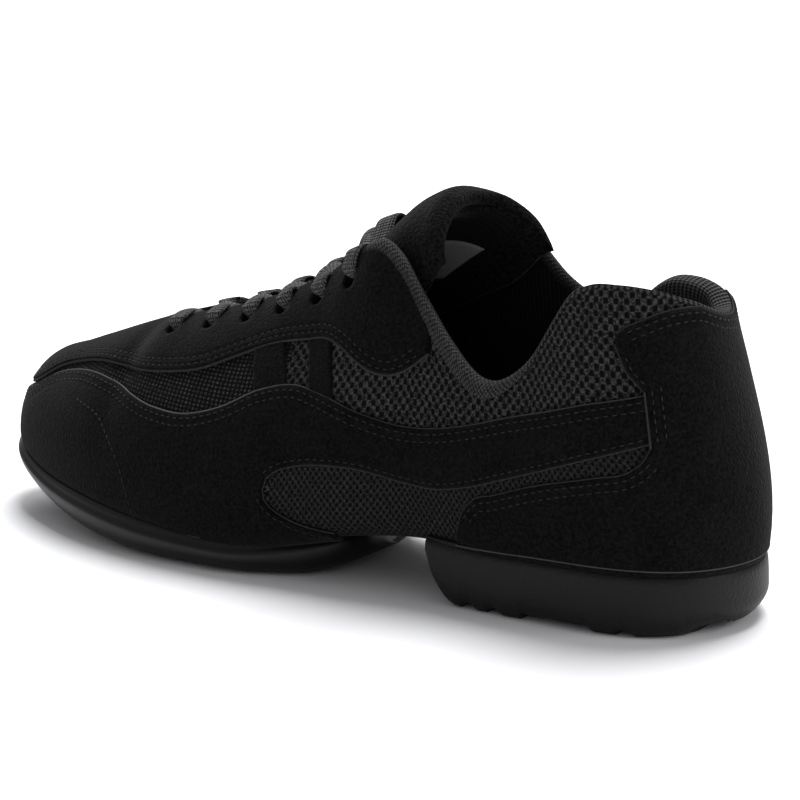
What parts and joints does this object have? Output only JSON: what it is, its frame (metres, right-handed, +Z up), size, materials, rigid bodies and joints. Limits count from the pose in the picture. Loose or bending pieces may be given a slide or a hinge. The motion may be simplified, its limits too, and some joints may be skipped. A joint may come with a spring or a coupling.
{
  "type": "dance sneaker",
  "caption": "Low split-sole dance sneaker: mesh upper with suede overlays, knit collar, padded tongue, flat lacing, thin forefoot sole and a separate rubber heel block.",
  "frame": {"origin": "centre of the shoe's bounds on the floor it stands on", "axes": "+X from heel to toe, +Y to the lateral side of this left shoe, +Z up"},
  "size_m": [0.2684, 0.0916, 0.1145],
  "materials": {
    "suede": "matt nap",
    "mesh_cloth": "matt open weave",
    "rubber": "matt",
    "gloss_rubber": "gloss",
    "knit": "matt rib knit",
    "lace": "woven"
  },
  "bodies": {
    "root": {"upper": "mesh_cloth", "vamp_eyestay": "suede", "side_guard": "suede", "heel_counter": "suede", "instep_strap_lateral_front": "suede", "instep_strap_lateral_rear": "suede", "instep_strap_medial_front": "suede", "instep_strap_medial_rear": "suede", "collar_tape": "knit", "forefoot_sole": "gloss_rubber", "heel_block": "rubber", "insole": "knit", "tongue": "suede", "lace_crossing_1": "lace", "lace_crossing_2": "lace", "lace_crossing_3": "lace", "lace_crossing_4": "lace", "lace_crossing_5": "lace", "lace_bar_top": "lace"}
  },
  "joints": []
}
